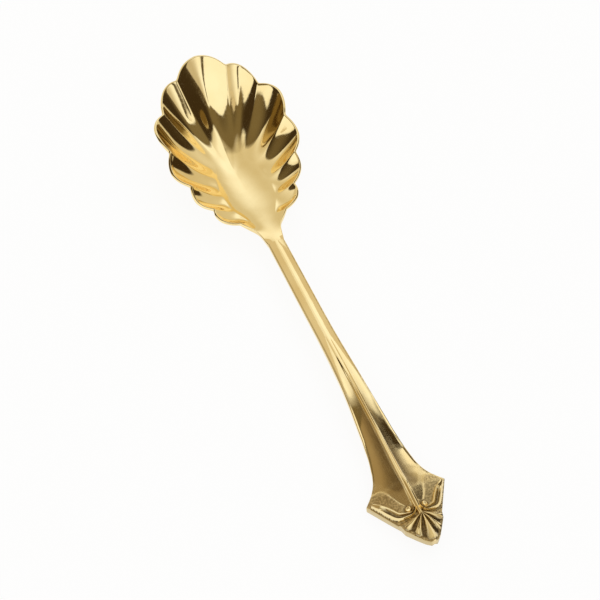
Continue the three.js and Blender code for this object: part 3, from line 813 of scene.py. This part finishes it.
# Studio
def stage_mesh(name, points, faces, material_name, reflected):
    """A mesh of the studio and its nodes. A reflected one shows only in reflections and casts no shadow."""
    mesh = bpy.data.meshes.new(name)
    mesh.from_pydata(points, [], faces)
    thing = bpy.data.objects.new(name, mesh)
    bpy.context.scene.collection.objects.link(thing)
    material = bpy.data.materials.new(material_name)
    material.use_nodes = True
    mesh.materials.append(material)
    if reflected:
        thing.visible_camera = False
        thing.visible_diffuse = False
        thing.visible_shadow = False
        material.node_tree.nodes.remove(material.node_tree.nodes["Principled BSDF"])
    return mesh, material.node_tree


def sky(tree):
    """The dome: palest above on the right, and white where the camera sees it."""
    where = tree.nodes.new("ShaderNodeTexCoord").outputs["Generated"]
    apart = tree.nodes.new("ShaderNodeSeparateXYZ")
    tree.links.new(where, apart.inputs[0])
    off = calculate(tree, "ABSOLUTE", calculate(tree, "SUBTRACT", apart.outputs["Y"], DOME_MIDDLE), 0)
    risen = spread(tree, apart.outputs["Z"], DOME_RISE, soft=True)
    bright = calculate(tree, "MULTIPLY", spread(tree, off, DOME_SIDE, soft=True), risen)
    far = calculate(tree, "MULTIPLY", spread(tree, off, DOME_FAR, soft=True), DOME_FAR_SHARE)
    bright = calculate(tree, "MULTIPLY", bright, calculate(tree, "SUBTRACT", 1, far))
    dome = blend(tree, DOME_LOW, DOME_HIGH, bright)
    near = blend(tree, NEAR_HIGH, NEAR_LOW, spread(tree, apart.outputs["Y"], NEAR_FALL, soft=True))
    ahead = tree.nodes.new("ShaderNodeVectorMath")
    ahead.operation = "DOT_PRODUCT"
    ahead.inputs[1].default_value = ROOM_AXIS
    tree.links.new(where, ahead.inputs[0])
    both = blend(tree, dome, near, spread(tree, ahead.outputs["Value"], NEAR_FROM, soft=True))
    seen = tree.nodes.new("ShaderNodeLightPath").outputs["Is Camera Ray"]
    return blend(tree, both, WHITE, seen)


def studio():
    scene = bpy.context.scene
    scene.view_settings.view_transform = "Standard"
    scene.world = bpy.data.worlds.new("studio")
    scene.world.use_nodes = True
    tree = scene.world.node_tree
    tree.links.new(sky(tree), tree.nodes["Background"].inputs["Color"])


def floor():
    """White paper that shows nearly at its full white and keeps the spoon's shadow."""
    corners = [(x * FLOOR_HALF, y * FLOOR_HALF, 0) for x, y in ((-1, -1), (1, -1), (1, 1), (-1, 1))]
    _, tree = stage_mesh("floor", corners, [(0, 1, 2, 3)], "floor_paper", reflected=False)
    shader = tree.nodes["Principled BSDF"]
    shader.inputs["Base Color"].default_value = (*FLOOR_TONE, 1)
    shader.inputs["Roughness"].default_value = FLOOR_ROUGH
    glow = tree.nodes.new("ShaderNodeEmission")
    path = tree.nodes.new("ShaderNodeLightPath")
    beyond = calculate(tree, "MAXIMUM", path.outputs["Is Glossy Ray"], path.outputs["Is Transmission Ray"])
    seen = calculate(tree, "MAXIMUM", path.outputs["Is Camera Ray"], beyond)
    share = calculate(tree, "MULTIPLY", seen, FLOOR_GLOW)
    layered(tree, shader.outputs["BSDF"], glow.outputs["Emission"], share)


def room_point(turn, tilt):
    """A point of the room's sphere: turned round the room's axis, and tilted away from it."""
    axis = Vector(ROOM_AXIS).normalized()
    aside = axis.cross(Vector((0, 0, 1))).normalized()
    over = aside.cross(axis)
    turn, tilt = math.radians(turn), math.radians(tilt)
    out = aside * math.cos(turn) + over * math.sin(turn)
    return Vector(ROOM_CENTRE) + (axis * math.cos(tilt) + out * math.sin(tilt)) * ROOM_RADIUS


def dark_room():
    """The dark room behind the camera, which only reflections show: a soft-edged band round the bowl."""
    points, faces, cover, tone = [], [], [], []
    for i in range(ROOM_STEPS + 1):
        turn = mix(*ROOM_TURN, i / ROOM_STEPS)
        side = abs(turn - ROOM_TOP) / ROOM_SIDE
        at = (len(ROOM_LOW) - 1) * i / ROOM_STEPS
        edge, low = float(through(ROOM_EDGE, at)), float(through(ROOM_LOW, at))
        soft = mix(*ROOM_EDGE_SOFT, 1 - float(smooth(side, *ROOM_EDGE_HARD_FROM)))
        tilts = (edge - soft, edge + soft, low - ROOM_LOW_SOFT, low + ROOM_LOW_SOFT)
        for tilt, hidden in zip(tilts, BAND_COVER):
            points.append(room_point(turn, tilt))
            cover.append(hidden)
            tone.append(float(smooth(side, *ROOM_DARK_FROM)))
    wide = len(BAND_COVER)
    for i in range(ROOM_STEPS):
        for k in range(wide - 1):
            first = wide * i + k
            quad = (first, first + 1, first + wide + 1, first + wide)
            if min(points[q].z for q in quad) > FLOOR_CLEAR:
                faces.append(quad)
    start = len(points)
    for turn, hidden in zip(STAND_TURN, BAND_COVER):
        for tilt in STAND_LOW:
            points.append(room_point(turn, tilt))
            cover.append(hidden)
            tone.append(STAND_SHADE)
    for k in range(len(STAND_TURN) - 1):
        faces.append(tuple(start + 2 * k + step for step in (0, 1, 3, 2)))
    mesh, tree = stage_mesh("dark_room", points, faces, "room_wall", reflected=True)
    for label, values in (("cover", cover), ("tone", tone)):
        mesh.attributes.new(label, "FLOAT", "POINT").data.foreach_set("value", values)
    wall = tree.nodes.new("ShaderNodeEmission")
    clear = tree.nodes.new("ShaderNodeBsdfTransparent")
    colour = blend(tree, ROOM_TOP_TONE, ROOM_SIDE_TONE, attribute(tree, "tone"))
    tree.links.new(colour, wall.inputs["Color"])
    layered(tree, clear.outputs["BSDF"], wall.outputs["Emission"], attribute(tree, "cover"))


def paper_cards(name, cards, tone):
    """Cards beside and above the handle, which only reflections show."""
    corners = [corner for card in cards for corner in card]
    faces = [tuple(range(4 * k, 4 * k + 4)) for k in range(len(cards))]
    _, tree = stage_mesh(name, corners, faces, name, reflected=True)
    glow = tree.nodes.new("ShaderNodeEmission")
    glow.inputs["Color"].default_value = (*tone, 1)
    tree.links.new(glow.outputs["Emission"], tree.nodes["Material Output"].inputs["Surface"])


def camera():
    data = bpy.data.cameras.new("camera")
    data.lens = LENS
    data.sensor_width = SENSOR
    data.clip_start, data.clip_end = CLIP
    view = bpy.data.objects.new("camera", data)
    right, back = Vector(CAMERA_RIGHT), Vector(CAMERA_BACK)
    turn = Matrix((right, back.cross(right), back)).transposed().to_4x4()
    view.matrix_world = Matrix.Translation(CAMERA_AT) @ turn
    bpy.context.scene.collection.objects.link(view)
    bpy.context.scene.camera = view


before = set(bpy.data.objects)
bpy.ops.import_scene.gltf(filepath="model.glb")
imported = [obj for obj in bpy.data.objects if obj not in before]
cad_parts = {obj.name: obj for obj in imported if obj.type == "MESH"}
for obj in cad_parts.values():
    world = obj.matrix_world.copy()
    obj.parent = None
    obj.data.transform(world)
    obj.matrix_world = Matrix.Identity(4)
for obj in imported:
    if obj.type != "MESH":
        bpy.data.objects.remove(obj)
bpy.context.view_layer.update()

polished = brass("polished", POLISHED_COLOUR, BROWN_PATINA_AND_SHADE, POLISHED_ROUGH)
struck = brass("struck", STRUCK_COLOUR, BROWN_PATINA_AND_SHADE, STRUCK_ROUGH)
relief = brass("relief", STRUCK_COLOUR, DARK_PATINA, RELIEF_ROUGH)

make_bowl(polished)
make_stem(polished)
make_end_piece(struck)
make_palmette(relief)
make_scroll("scroll_left", 1, "left_scroll", relief)
make_scroll("scroll_right", -1, "right_scroll", relief)
make_bead("bead_left", 1, "left_bead", relief)
make_bead("bead_right", -1, "right_bead", relief)

studio()
floor()
dark_room()
paper_cards("white_cards", WHITE_CARDS, WHITE_CARD_TONE)
paper_cards("grey_cards", GREY_CARDS, GREY_CARD_TONE)
paper_cards("pale_cards", PALE_CARDS, PALE_CARD_TONE)
camera()
